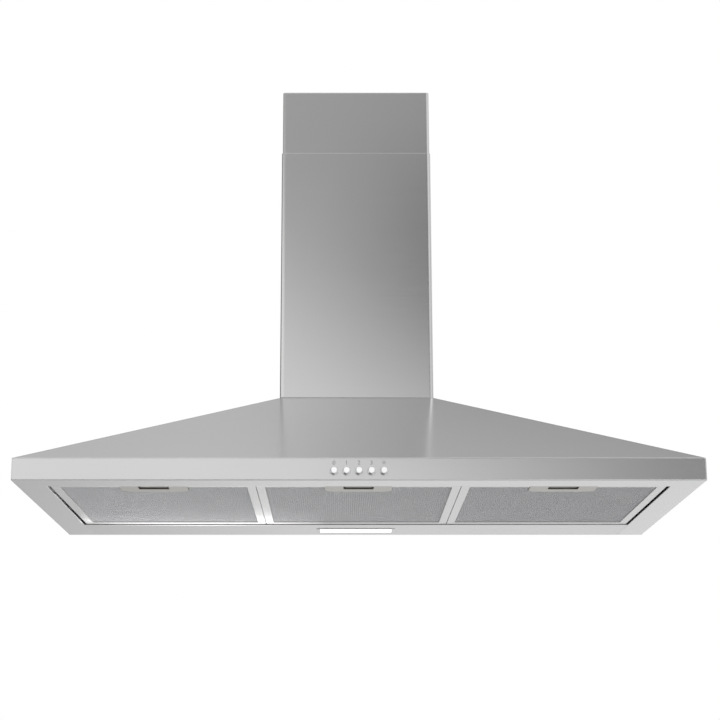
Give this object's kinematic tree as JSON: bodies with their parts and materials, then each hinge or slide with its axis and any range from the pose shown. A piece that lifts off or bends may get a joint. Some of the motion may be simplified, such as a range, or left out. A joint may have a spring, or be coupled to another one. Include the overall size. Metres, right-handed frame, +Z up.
{
  "type": "chimney range hood",
  "caption": "Wall-mounted chimney range hood with a pyramid canopy, telescoping chimney cover, hinged mesh filters, push buttons, lamp and an inner blower.",
  "frame": {"origin": "on the wall plane, in the middle of the hood's width, at the level of the canopy's lower edge", "axes": "+X to the hood's right as seen from the front, +Y into the wall, +Z up; the hood's front is at negative Y"},
  "size_m": [0.9, 0.479, 0.6528],
  "materials": {
    "stainless_brushed": "brushed stainless steel",
    "stainless_satin": "satin stainless steel",
    "satin_handle": "warm satin metal",
    "aluminium_mesh": "expanded aluminium mesh",
    "galvanised": "galvanised steel sheet",
    "zinc_steel": "zinc-plated steel",
    "zinc_screw": "zinc-plated screws",
    "stainless_screw": "bright stainless screws",
    "bearing_steel": "ground steel",
    "spring_steel": "bright spring steel",
    "motor_metal": "cast end bells and steel can",
    "chrome_button": "polished chrome",
    "frosted_diffuser": "frosted",
    "white_board": "white solder mask",
    "white_plastic": "moulded",
    "grey_plastic": "moulded",
    "black_plastic": "moulded",
    "dark_plastic": "moulded",
    "black_rubber": "soft"
  },
  "bodies": {
    "hood": {"blower_screws": "zinc_screw", "blower_scroll": "galvanised", "blower_side_left": "galvanised", "blower_side_right": "galvanised", "cable_gland": "black_plastic", "canopy_back_panel": "galvanised", "canopy_shell": "stainless_brushed", "capacitor": "white_plastic", "deck": "galvanised", "deck_screws": "zinc_screw", "flap_pin": "bearing_steel", "lamp_bezel": "stainless_satin", "lamp_board": "white_board", "lamp_lens": "frosted_diffuser", "lamp_tray": "galvanised", "lower_chimney": "stainless_brushed", "lower_chimney_brackets": "galvanised", "lower_chimney_screws": "stainless_screw", "motor_band": "zinc_steel", "motor_bearings": "bearing_steel", "motor_body": "motor_metal", "motor_grommets": "black_rubber", "motor_screws": "zinc_screw", "outlet_adaptor": "black_plastic", "outlet_collar": "black_plastic", "rear_panel": "stainless_brushed", "switch_block": "black_plastic", "switch_bracket": "galvanised", "switch_screws": "zinc_screw", "terminal_box": "grey_plastic", "terminal_box_lid": "grey_plastic", "wall_hooks": "zinc_steel"},
    "upper_cover": {"upper_chimney": "stainless_brushed", "upper_chimney_bracket": "galvanised", "upper_chimney_screws": "stainless_screw"},
    "fan": {"fan_wheel": "dark_plastic", "motor_shaft": "bearing_steel"},
    "flap_rear": {"backdraft_flap_rear": "black_plastic"},
    "flap_front": {"backdraft_flap_front": "black_plastic"},
    "button_off_body": {"button_off": "chrome_button"},
    "button_low_body": {"button_low": "chrome_button"},
    "button_medium_body": {"button_medium": "chrome_button"},
    "button_high_body": {"button_high": "chrome_button"},
    "button_light_body": {"button_light": "chrome_button"},
    "filter_left": {"filter_left_frame": "stainless_satin", "filter_left_mesh": "aluminium_mesh", "filter_left_springs": "spring_steel", "filter_left_handle": "satin_handle"},
    "latch_left": {"filter_left_latch": "satin_handle"},
    "filter_centre": {"filter_centre_frame": "stainless_satin", "filter_centre_mesh": "aluminium_mesh", "filter_centre_springs": "spring_steel", "filter_centre_handle": "satin_handle"},
    "latch_centre": {"filter_centre_latch": "satin_handle"},
    "filter_right": {"filter_right_frame": "stainless_satin", "filter_right_mesh": "aluminium_mesh", "filter_right_springs": "spring_steel", "filter_right_handle": "satin_handle"},
    "latch_right": {"filter_right_latch": "satin_handle"}
  },
  "joints": [
    {"name": "upper_cover_slide", "type": "slide", "parent": "hood", "child": "upper_cover", "axis": [0, 0, 1], "range_m": [-0.08, 0.24]},
    {"name": "fan_spin", "type": "hinge", "parent": "hood", "child": "fan", "pos_m": [0, -0.12, 0.106], "axis": [1, 0, 0], "continuous": true},
    {"name": "flap_rear_hinge", "type": "hinge", "parent": "hood", "child": "flap_rear", "pos_m": [0, -0.1, 0.2292], "axis": [1, 0, 0], "range_deg": [0, 80]},
    {"name": "flap_front_hinge", "type": "hinge", "parent": "hood", "child": "flap_front", "pos_m": [0, -0.1, 0.2292], "axis": [-1, 0, 0], "range_deg": [0, 80]},
    {"name": "button_off_press", "type": "slide", "parent": "hood", "child": "button_off_body", "axis": [0, 1, 0], "range_m": [0, 0.003], "stiffness_N_per_m": 500},
    {"name": "button_low_press", "type": "slide", "parent": "hood", "child": "button_low_body", "axis": [0, 1, 0], "range_m": [0, 0.003], "stiffness_N_per_m": 500},
    {"name": "button_medium_press", "type": "slide", "parent": "hood", "child": "button_medium_body", "axis": [0, 1, 0], "range_m": [0, 0.003], "stiffness_N_per_m": 500},
    {"name": "button_high_press", "type": "slide", "parent": "hood", "child": "button_high_body", "axis": [0, 1, 0], "range_m": [0, 0.003], "stiffness_N_per_m": 500},
    {"name": "button_light_press", "type": "slide", "parent": "hood", "child": "button_light_body", "axis": [0, 1, 0], "range_m": [0, 0.003], "stiffness_N_per_m": 500},
    {"name": "filter_left_hinge", "type": "hinge", "parent": "hood", "child": "filter_left", "pos_m": [-0.2716, -0.0986, 0.004], "axis": [1, 0, 0], "range_deg": [0, 40]},
    {"name": "filter_centre_hinge", "type": "hinge", "parent": "hood", "child": "filter_centre", "pos_m": [0, -0.0986, 0.004], "axis": [1, 0, 0], "range_deg": [0, 40]},
    {"name": "filter_right_hinge", "type": "hinge", "parent": "hood", "child": "filter_right", "pos_m": [0.2716, -0.0986, 0.004], "axis": [1, 0, 0], "range_deg": [0, 40]},
    {"name": "latch_left_slide", "type": "slide", "parent": "filter_left", "child": "latch_left", "axis": [0, 1, 0], "range_m": [0, 0.0065], "stiffness_N_per_m": 400},
    {"name": "latch_centre_slide", "type": "slide", "parent": "filter_centre", "child": "latch_centre", "axis": [0, 1, 0], "range_m": [0, 0.0065], "stiffness_N_per_m": 400},
    {"name": "latch_right_slide", "type": "slide", "parent": "filter_right", "child": "latch_right", "axis": [0, 1, 0], "range_m": [0, 0.0065], "stiffness_N_per_m": 400}
  ]
}
